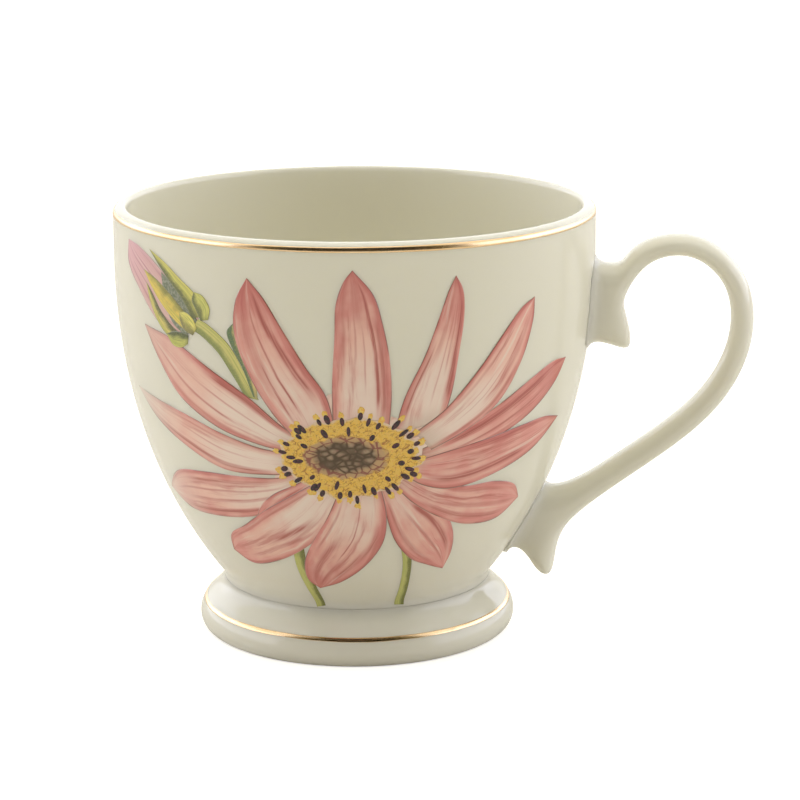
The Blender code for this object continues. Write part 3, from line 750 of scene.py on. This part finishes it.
def petal_enamel(name, seed, pink, strokes, fade=0.0, deep_tip=False):
    """Watercolour petal: cream at the base, salmon at the tip, fine veins, strokes and a thin outline."""
    g = Graph("petal_" + name + "_enamel")
    across, along, half = g.parts(g.attribute("strip"))
    edge = g.math('ABSOLUTE', across)
    wander = g.sub(g.noise(g.vector(g.mul(along, 3.0), seed, 0.0), 1.0, 3.0), 0.5)
    wash = g.noise(g.attribute("place"), 0.16, 3.0)
    drift = g.add(g.mul(wander, 0.9), g.mul(g.sub(wash, 0.5), 0.5))
    veins = g.noise(g.vector(g.add(g.mul(across, 2.6), drift), g.mul(along, 1.25), seed), 1.0, 4.0, 0.62)
    fine = g.noise(g.vector(g.add(g.mul(across, 9.0), drift), g.mul(along, 1.7), seed + 3), 1.0, 4.0, 0.65)

    warm = g.add(g.add(g.ramp(along, 0.25, 0.85), g.mul(g.ramp(edge, 0.40, 0.95), 0.5)), g.mul(veins, 0.5))
    warm = g.add(warm, pink * 0.8 - 0.35)
    body = g.mix(g.ramp(warm, 0.05, 0.85), CREAM, PEACH)
    sides = g.mul(g.ramp(g.add(edge, g.mul(wander, 0.5)), 0.55, 1.0), 0.75)
    flush = g.add(g.add(g.mul(g.ramp(along, 0.45, 1.05), 0.8), sides), pink - 0.15)
    flush = g.add(flush, g.mul(g.sub(wash, 0.5), 1.5))
    body = g.mix(g.mul(g.ramp(flush, 0.1, 1.15), g.ramp(veins, 0.28, 0.60, 0.45, 1.0)), body, SALMON)
    body = g.mix(g.mul(g.ramp(veins, 0.54, 0.70), g.add(0.20 + pink * 0.6, g.mul(along, 0.40))), body, ROSE)
    body = g.mix(g.mul(g.ramp(veins, 0.42, 0.30), 0.55), body, (0.92, 0.78, 0.68))
    body = g.mix(g.mul(g.ramp(fine, 0.58, 0.70), g.add(0.18, g.mul(flush, 0.25))), body, ROSE)

    ink = 0.0
    for line in strokes:
        ink = g.math('MAXIMUM', ink, stroke(g, across, along, wander, line))
    grain = g.ramp(fine, 0.30, 0.62, 0.55, 1.0)
    if deep_tip:
        tip = g.mul(g.ramp(g.add(along, g.mul(wash, 0.4)), 0.70, 1.25), g.ramp(veins, 0.30, 0.60, 0.5, 1.0))
        body = g.mix(g.mul(tip, 0.75), body, ROSE)
    body = g.mix(g.mul(g.mul(ink, grain), 0.92), body, ROSE)
    body = g.mix(g.mul(g.ramp(g.mul(ink, grain), 0.55, 0.95), 0.55), body, WINE)

    # thin outline, a constant fraction of a millimetre wide, that comes and goes
    rim = g.mul(g.sub(1.0, edge), half)
    comes = g.noise(g.vector(g.mul(along, 4.0), g.mul(across, 0.7), seed + 9), 1.0, 2.0)
    border = g.mul(g.ramp(rim, 1.3, 0.1), g.ramp(comes, 0.35, 0.60, 0.25, 1.0))
    body = g.mix(g.mul(border, 0.75), body, ROSE)
    line = g.mul(g.ramp(rim, 0.30, 0.06), g.ramp(comes, 0.42, 0.58))
    line = g.math('MAXIMUM', line, g.mul(g.ramp(rim, 0.34, 0.10), g.ramp(along, 0.42, 0.12)))
    body = g.mix(g.mul(line, 0.85), body, OUTLINE)
    # a greyish wash where the petal leaves the disc
    body = g.mix(g.mul(g.ramp(along, 0.16, 0.0), 0.35), body, (0.42, 0.30, 0.22))

    soft = g.mul(g.ramp(rim, 0.10, 0.0), 0.5)
    if fade:
        haze = g.mul(g.ramp(g.add(along, g.mul(wander, 0.2)), 0.55, 1.0), fade)
        soft = g.math('MAXIMUM', soft, haze)
    body = g.mix(soft, body, GLAZE)
    g.set(Base_Color=body)
    glaze_gloss(g)
    return g.material


def add_petals():
    for number, (name, petal) in enumerate(PETALS.items()):
        petal = dict(petal)
        grid = leaf_grid(petal.pop("left"), petal.pop("right"), 56, 17)
        layer = petal.pop("layer")
        film("daisy_petal_" + name, [grid], layer, petal_enamel(name, number * 7.3, **petal),
             () if number else ("daisy_petals",))


# ---- disc and stamens

# Middles and half sizes on the transfer (mm)
DISC_MIDDLE = (0.6, -0.2)
DISC_HALF = (14.6, 8.7)
HEART_HALF = (9.0, 4.4)
COLLAR_MIDDLE = (0.6, -0.4)
COLLAR_HALF = (18.6, 12.0)
STAMENS = 44
OCHRE = (0.86, 0.53, 0.09)


def disc_enamel():
    """Ochre ring with scribbled lines round a brown heart of packed florets."""
    g = Graph("disc_enamel")
    place = g.attribute("place")
    x, y, _ = g.parts(place)
    warp = g.sub(g.noise(place, 0.45, 3.0), 0.5)
    heart_x = g.mul(g.sub(x, DISC_MIDDLE[0] - 1.0), 1 / HEART_HALF[0])
    heart_y = g.mul(g.sub(y, DISC_MIDDLE[1] + 0.3), 1 / HEART_HALF[1])
    reach = g.math('SQRT', g.add(g.math('POWER', heart_x, 2.0), g.math('POWER', heart_y, 2.0)))
    reach = g.add(reach, g.mul(warp, 0.5))
    mottled = g.noise(place, 1.1, 4.0, 0.65)
    ochre = g.mix(g.ramp(mottled, 0.35, 0.65), OCHRE, (0.87, 0.60, 0.14))
    ochre = g.mix(g.mul(g.ramp(mottled, 0.56, 0.68), 0.8), ochre, (0.80, 0.36, 0.08))
    ochre = g.mix(g.mul(g.ramp(g.noise(place, 2.6, 3.0), 0.56, 0.66), 0.5), ochre, (0.50, 0.28, 0.04))
    warped = g.vector(g.add(x, g.mul(warp, 4.0)), g.add(g.mul(y, 1.25), g.mul(warp, 3.0)), 0.0)
    scribble = g.cells(warped, 1.0, 'DISTANCE_TO_EDGE')["Distance"]
    broken = g.noise(place, 0.8, 2.0)
    lines = g.mul(g.ramp(scribble, 0.085, 0.03), g.ramp(broken, 0.44, 0.54))
    ochre = g.mix(g.mul(lines, 0.75), ochre, (0.36, 0.12, 0.04))

    squashed = g.vector(g.add(g.mul(x, 0.60), g.mul(warp, 0.6)), y, 0.0)
    florets = g.cells(squashed, 0.82)
    seams = g.cells(squashed, 0.82, 'DISTANCE_TO_EDGE')["Distance"]
    bead = g.mix(g.ramp(florets["Distance"], 0.60, 0.10), (0.15, 0.10, 0.055), (0.40, 0.29, 0.19))
    bead = g.mix(g.mul(g.ramp(mottled, 0.48, 0.66), 0.6), bead, (0.32, 0.15, 0.11))
    heart = g.mix(g.ramp(seams, 0.20, 0.02), bead, (0.095, 0.060, 0.030))
    pale_bead = g.mix(g.ramp(seams, 0.12, 0.03), (0.56, 0.36, 0.18), (0.30, 0.11, 0.08))
    heart = g.mix(g.ramp(reach, 0.62, 0.86), heart, pale_bead)
    colour = g.mix(g.ramp(reach, 1.08, 0.94), ochre, heart)
    _, along, _ = g.parts(g.attribute("strip"))
    ragged = g.add(along, g.mul(g.sub(g.noise(place, 0.9, 3.0), 0.5), 0.20))
    colour = g.mix(g.ramp(ragged, 0.93, 1.0), colour, (0.82, 0.62, 0.44))
    g.set(Base_Color=colour)
    glaze_gloss(g)
    return g.material


def ink_enamel(name, dark, light):
    g = Graph(name)
    g.set(Base_Color=g.mix(g.ramp(g.noise(g.attribute("place"), 1.6, 3.0), 0.35, 0.65), dark, light))
    glaze_gloss(g)
    return g.material


def round_grid(centre, half, angle, rings, turns, ragged=0.0, rng=None):
    """Grid of an ellipse, from its middle (a tiny ring) to its rim."""
    turn = np.linspace(0, 2 * math.pi, turns + 1)
    wave = np.zeros(turns + 1)
    if rng is not None:
        for k in range(2, 24):
            wave += rng.normal(0, ragged / math.sqrt(k)) * np.sin(k * turn + rng.uniform(0, 6.3))
    share = np.linspace(0, 1, rings)
    share[0] = 0.002
    radius = share[:, None] * (1 + wave[None, :] * share[:, None])
    x, y = radius * np.cos(turn) * half[0], radius * np.sin(turn) * half[1]
    c, s = math.cos(angle), math.sin(angle)
    flat = np.dstack((centre[0] + x * c - y * s, centre[1] + x * s + y * c))
    strip = np.dstack(np.broadcast_arrays(turn / math.pi - 1, share[:, None], np.full(x.shape, half[1])))
    return flat, strip


def collar_enamel():
    """Pale wash where the petals crowd together under the disc."""
    g = Graph("collar_enamel")
    place = g.attribute("place")
    x, y, _ = g.parts(place)
    turn = g.math('ARCTAN2', y, x)
    folds = g.noise(g.vector(g.mul(turn, 5.0), 0.0, 0.0), 1.0, 3.0)
    body = g.mix(g.ramp(folds, 0.40, 0.60), CREAM, (0.88, 0.62, 0.52))
    body = g.mix(g.mul(g.ramp(folds, 0.56, 0.64), 0.6), body, (0.45, 0.24, 0.17))
    g.set(Base_Color=body)
    glaze_gloss(g)
    return g.material


def add_disc():
    collar = round_grid(COLLAR_MIDDLE, COLLAR_HALF, 0.0, 12, 96, 0.05, np.random.default_rng(8))
    film("daisy_collar", [collar], 0.3, collar_enamel())
    disc = round_grid(DISC_MIDDLE, DISC_HALF, 0.0, 30, 180, 0.035, np.random.default_rng(5))
    film("daisy_disc_enamel", [disc], 6, disc_enamel(), ("daisy_disc",))


def add_stamens():
    """Dark filaments that point outwards over the ochre ring, most with an ochre anther beyond."""
    rng = np.random.default_rng(11)
    stamens, anthers = [], []
    for i in range(STAMENS):
        turn = 2 * math.pi * (i + rng.uniform(-0.38, 0.38)) / STAMENS
        inner = i % 4 == 3
        share = rng.uniform(0.60, 0.80) if inner else rng.uniform(0.88, 1.06)
        x = DISC_MIDDLE[0] + math.cos(turn) * DISC_HALF[0] * share
        y = DISC_MIDDLE[1] + math.sin(turn) * DISC_HALF[1] * share
        angle = math.atan2(math.sin(turn) * DISC_HALF[0] * 0.9, math.cos(turn) * DISC_HALF[1] * 1.7)
        length, width = rng.uniform(0.72, 1.30), rng.uniform(0.40, 0.60)
        stamens.append(round_grid((x, y), (length, width), angle, 4, 20))
        if not inner:
            out = length + rng.uniform(0.20, 0.55)
            size = rng.uniform(0.65, 0.95)
            anthers.append(round_grid((x + math.cos(angle) * out, y + math.sin(angle) * out),
                                      (size, size * rng.uniform(0.7, 0.95)), angle, 4, 18, 0.10, rng))
    ochre = ink_enamel("anther_enamel", (0.88, 0.48, 0.10), (0.88, 0.66, 0.16))
    film("daisy_anthers", anthers, 7, ochre)
    ink = ink_enamel("stamen_enamel", (0.03, 0.024, 0.024), (0.10, 0.035, 0.045))
    film("daisy_stamens", stamens, 8, ink)


# ---- stems, bud and leaf

LIGHT_GREEN = (0.60, 0.60, 0.20)
DEEP_GREEN = (0.17, 0.18, 0.045)


def green_enamel(name, light, dark, shaded, seed):
    """Yellow-green with a dark, stippled shade on one side."""
    g = Graph(name + "_enamel")
    across, along, half = g.parts(g.attribute("strip"))
    place = g.attribute("place")
    wash = g.noise(place, 0.5, 3.0)
    stipple = g.noise(place, 3.4, 3.0, 0.7)
    side = g.add(g.mul(across, shaded), g.mul(g.sub(wash, 0.5), 1.0))
    shade = g.mul(g.ramp(side, -0.25, 0.60), g.ramp(stipple, 0.30, 0.58, 0.65, 1.0))
    long_lines = g.noise(g.vector(g.mul(across, 5.0), g.mul(along, 1.6), seed), 1.0, 3.0)
    body = g.mix(g.mul(g.ramp(long_lines, 0.48, 0.62), 0.6), light, (0.38, 0.43, 0.11))
    body = g.mix(g.mul(g.ramp(long_lines, 0.44, 0.34), 0.45), body, dark)
    body = g.mix(shade, body, dark)
    body = g.mix(g.mul(g.ramp(g.add(along, g.mul(stipple, 0.2)), 0.32, 0.10), 0.45), body, dark)
    rim = g.mul(g.sub(1.0, g.math('ABSOLUTE', across)), half)
    outline = g.mul(g.ramp(rim, 0.16, 0.03), g.ramp(stipple, 0.40, 0.60, 0.1, 0.6))
    body = g.mix(outline, body, (0.16, 0.14, 0.05))
    body = g.mix(g.mul(g.ramp(rim, 0.08, 0.0), 0.4), body, GLAZE)
    g.set(Base_Color=body)
    glaze_gloss(g)
    return g.material


def bud_enamel():
    """Closed pink petals of the bud, with fine lengthwise stripes."""
    g = Graph("bud_petal_enamel")
    across, along, half = g.parts(g.attribute("strip"))
    stripes = g.noise(g.vector(g.mul(across, 7.0), g.mul(along, 1.2), 2.0), 1.0, 3.0, 0.6)
    body = g.mix(g.ramp(along, 0.2, 1.0), (0.72, 0.47, 0.42), (0.78, 0.45, 0.50))
    body = g.mix(g.mul(g.ramp(stripes, 0.50, 0.64), 0.70), body, (0.50, 0.22, 0.26))
    body = g.mix(g.mul(g.ramp(stripes, 0.45, 0.33), 0.5), body, (0.85, 0.68, 0.64))
    rim = g.mul(g.sub(1.0, g.math('ABSOLUTE', across)), half)
    body = g.mix(g.mul(g.ramp(rim, 0.25, 0.04), 0.4), body, (0.45, 0.25, 0.24))
    body = g.mix(g.mul(g.ramp(rim, 0.10, 0.0), 0.5), body, GLAZE)
    g.set(Base_Color=body)
    glaze_gloss(g)
    return g.material


# Each green film: its edges as for the petals, its layer, its two colours, and which side is shaded
GREENS = {
    "daisy_stem_left": dict(
        left=((-12.4, -21.0), (-12.6, -26.0), (-11.4, -31.0), (-9.6, -36.0)),
        right=((-15.6, -21.0), (-16.0, -26.0), (-15.0, -31.0), (-12.9, -36.4)),
        layer=0, light=LIGHT_GREEN, dark=DEEP_GREEN, shaded=-1.0),
    "daisy_stem_right": dict(
        left=((15.9, -19.4), (17.6, -25.0), (18.6, -31.0), (18.9, -36.2)),
        right=((12.9, -19.4), (14.9, -25.0), (15.6, -31.0), (15.2, -36.0)),
        layer=0, light=LIGHT_GREEN, dark=DEEP_GREEN, shaded=-1.0),
    "bud_stem": dict(
        left=((-18.2, 11.4), (-20.8, 16.6), (-23.9, 21.9), (-28.4, 25.4), (-32.6, 27.0)),
        right=((-21.2, 11.8), (-23.7, 15.9), (-26.9, 20.3), (-31.0, 23.3), (-34.6, 24.4)),
        layer=0, light=(0.72, 0.66, 0.24), dark=(0.26, 0.3, 0.11), shaded=0.9),
    "bud_leaf": dict(
        left=((-18.4, 11.6), (-18.6, 16.0), (-19.6, 21.0), (-21.0, 24.8)),
        right=((-19.4, 12.0), (-21.2, 17.4), (-23.2, 21.2), (-24.4, 24.6), (-22.8, 26.6)),
        layer=1, light=(0.82, 0.62, 0.26), dark=(0.12, 0.2, 0.11), shaded=1.0),
    "bud_sepal_upper": dict(
        left=((-29.6, 27.2), (-31.6, 31.2), (-35.8, 34.0), (-40.6, 36.8)),
        right=((-32.8, 26.4), (-35.4, 30.0), (-38.6, 32.8), (-42.2, 35.8), (-45.4, 38.6)),
        layer=3, light=(0.76, 0.7, 0.2), dark=(0.15, 0.17, 0.09), shaded=0.9),
    "bud_sepal_lower": dict(
        left=((-34.0, 22.6), (-37.4, 23.4), (-41.4, 26.2), (-44.6, 29.8)),
        right=((-35.4, 20.8), (-39.2, 21.4), (-42.8, 23.8), (-45.6, 28.0), (-46.8, 31.8)),
        layer=3, light=(0.74, 0.64, 0.2), dark=(0.14, 0.14, 0.08), shaded=-0.9),
    "bud_sepal_middle": dict(
        left=((-32.2, 25.2), (-35.6, 28.2), (-39.2, 30.8), (-43.4, 33.0)),
        right=((-34.2, 23.4), (-38.0, 25.4), (-41.8, 28.2), (-45.2, 31.4), (-47.6, 34.2)),
        layer=4, light=(0.86, 0.66, 0.15), dark=(0.26, 0.25, 0.09), shaded=-0.5),
    "bud_lobe_upper": dict(
        left=((-28.6, 26.6), (-28.2, 29.0), (-29.8, 31.2)),
        right=((-30.6, 26.2), (-31.6, 28.2), (-32.6, 30.0), (-32.0, 31.8)),
        layer=5, light=(0.72, 0.7, 0.22), dark=(0.17, 0.19, 0.09), shaded=0.8),
    "bud_lobe_lower": dict(
        left=((-34.0, 22.8), (-36.0, 23.2), (-38.4, 23.0)),
        right=((-34.4, 21.0), (-36.4, 20.0), (-38.8, 20.2), (-40.6, 22.2)),
        layer=5, light=(0.62, 0.62, 0.18), dark=(0.11, 0.13, 0.07), shaded=-0.9),
    "bud_lobe_middle": dict(
        left=((-31.6, 24.6), (-32.6, 26.4), (-34.4, 27.4)),
        right=((-32.8, 23.0), (-34.8, 23.6), (-36.0, 25.2), (-36.2, 27.2)),
        layer=6, light=(0.86, 0.78, 0.22), dark=(0.26, 0.24, 0.11), shaded=0.8),
}
BUD_BODY = (((-31.0, 26.6), (-38.0, 32.6), (-44.0, 36.4), (-49.6, 38.6)),
            ((-36.0, 21.6), (-42.8, 24.0), (-49.6, 29.6), (-54.8, 34.4), (-54.6, 39.2)))
BUD_SHADE = (((-31.4, 26.2), (-34.0, 29.6), (-37.6, 32.4)),
             ((-34.6, 22.4), (-38.6, 25.0), (-40.6, 29.4), (-41.4, 34.6)))


def add_greens():
    for number, (name, green) in enumerate(GREENS.items()):
        grid = leaf_grid(green["left"], green["right"], 40, 13)
        enamel = green_enamel(name, green["light"], green["dark"], green["shaded"], number * 5.1)
        nodes = (name,) if name.startswith("daisy_stem") else ()
        film(name, [grid], green["layer"], enamel, nodes)


def add_bud():
    film("bud_petals", [leaf_grid(*BUD_BODY, 44, 17)], 1, bud_enamel(), ("daisy_bud",))
    shade = ink_enamel("bud_shade_enamel", (0.17, 0.20, 0.13), (0.34, 0.35, 0.28))
    film("bud_shade", [leaf_grid(*BUD_SHADE, 30, 13)], 2, shade)


# ---- stage, light and camera

# The camera's direction and distance from its aim, beside the cup's axis
VIEW_AZIMUTH = math.radians(5.0)
VIEW_ELEVATION = math.radians(13.64)
VIEW_DISTANCE = 0.5659
VIEW_ROLL = math.radians(-0.15)
LENS = 120.5
SENSOR = 36.0
AIM_RIGHT = 9.29 * MM
AIM_UP = 0.66 * MM
AIM_HEIGHT = 47.45 * MM


def add_camera():
    back = Vector((math.sin(VIEW_AZIMUTH) * math.cos(VIEW_ELEVATION),
                   -math.cos(VIEW_AZIMUTH) * math.cos(VIEW_ELEVATION), math.sin(VIEW_ELEVATION)))
    turn = (-back).to_track_quat("-Z", "Y").to_matrix()
    aim = Vector((AXIS_X, 0, AIM_HEIGHT)) + turn @ Vector((AIM_RIGHT, AIM_UP, 0))
    data = bpy.data.cameras.new("camera")
    data.lens = LENS
    data.sensor_width = SENSOR
    data.clip_start = 0.01
    camera = bpy.data.objects.new("camera", data)
    bpy.context.scene.collection.objects.link(camera)
    place = turn @ Matrix.Rotation(VIEW_ROLL, 3, 'Z')
    camera.matrix_world = Matrix.Translation(aim + back * VIEW_DISTANCE) @ place.to_4x4()
    bpy.context.scene.camera = camera


# Light from the sides, the camera's side, its core, behind the cup and above
SIDE_LIGHT = (2.15, 2.18, 2.42)
FRONT_LIGHT = (0.11, 0.10, 0.03)
CORE_LIGHT = (0.02, 0.015, 0.005)
REAR_LIGHT = (1.40, 1.40, 1.40)
TOP_LIGHT = (1.19, 1.15, 1.03)
# Half widths of the dim sides round the camera, and where each ends (degrees)
FRONT_ZONE = (55, 62)
CORE_ZONE = (34, 42)
REAR_ZONE = (-0.95, -0.75)      # cosines, away from the camera
TOP_ZONE = (0.50, 0.58)         # heights, as sines of the elevation
TOP_LOWER_FOR_DIFFUSE = 0.30
TOP_HIGHER_IN_FRONT = 0.40
SEEN_WHITE = 1.1                # brightness of the background
TABLE_HALF = 6.0                # half the table's side (m)


def add_world():
    """White studio with a dim, warm side where the camera stands; the camera itself sees plain white."""
    world = bpy.data.worlds.new("studio")
    world.use_nodes = True
    bpy.context.scene.world = world
    world.node_tree.nodes.clear()
    g = Graph("studio", world.node_tree)

    def zone(inner, outer):
        return g.ramp(facing, math.cos(math.radians(outer)), math.cos(math.radians(inner)))

    direction = g.node("ShaderNodeTexCoord").outputs["Generated"]
    level = g.point('NORMALIZE', g.point('MULTIPLY', direction, (1, 1, 0)))
    facing = g.point('DOT_PRODUCT', level, (math.sin(VIEW_AZIMUTH), -math.cos(VIEW_AZIMUTH), 0))
    front = zone(*FRONT_ZONE)
    height = g.add(g.parts(direction)[2], g.mul(g.path("Is Diffuse Ray"), TOP_LOWER_FOR_DIFFUSE))
    height = g.sub(height, g.mul(front, TOP_HIGHER_IN_FRONT))
    colour = g.mix(front, SIDE_LIGHT, FRONT_LIGHT)
    colour = g.mix(zone(*CORE_ZONE), colour, CORE_LIGHT)
    colour = g.mix(g.ramp(facing, REAR_ZONE[1], REAR_ZONE[0]), colour, REAR_LIGHT)
    colour = g.mix(g.ramp(height, *TOP_ZONE), colour, TOP_LIGHT)

    light = g.node("ShaderNodeBackground")
    g.plug(colour, light.inputs["Color"])
    plain = g.node("ShaderNodeBackground")
    plain.inputs["Color"].default_value = (1, 1, 1, 1)
    plain.inputs["Strength"].default_value = SEEN_WHITE
    seen = g.path("Is Camera Ray")
    chosen = g.fill(g.node("ShaderNodeMixShader"), seen, light.outputs[0], plain.outputs[0])
    g.plug(chosen, g.node("ShaderNodeOutputWorld").inputs["Surface"])


def add_floor():
    """A pale table that looks plain white and lights the cup softly from below."""
    g = Graph("pale_floor")
    grain = g.noise(g.place(), 4.0, 2.0)
    g.set(Base_Color=g.mix(grain, (0.76, 0.74, 0.68), (0.78, 0.76, 0.70)))
    g.set(Roughness=0.9, Specular_IOR_Level=0.1, Emission_Color=(1.0, 1.0, 1.0, 1.0))
    g.set(Emission_Strength=g.mul(g.path("Is Camera Ray"), 0.60))
    mesh = bpy.data.meshes.new("floor")
    corners = [(x * TABLE_HALF, y * TABLE_HALF, 0) for x, y in ((-1, -1), (1, -1), (1, 1), (-1, 1))]
    mesh.from_pydata(corners, [], [(0, 1, 2, 3)])
    mesh.materials.append(g.material)
    floor = bpy.data.objects.new("floor", mesh)
    bpy.context.scene.collection.objects.link(floor)
    floor.location.z = -0.02 * MM


def build():
    add_bowl()
    add_foot()
    add_gold_line("rim_gold_line", WALL, WALL_NORMALS, LIP_TOP - RIM_BAND_DROP, RIM_BAND_WIDTH,
                  "rim_gold_band", 3)
    add_gold_line("foot_gold_line", FOOT, FOOT_NORMALS, FOOT_BAND_HEIGHT, FOOT_BAND_WIDTH,
                  "foot_gold_band", 4)
    add_handle()
    add_petals()
    add_disc()
    add_stamens()
    add_greens()
    add_bud()
    add_floor()
    add_world()
    add_camera()
    bpy.context.scene.view_settings.view_transform = 'Standard'


build()
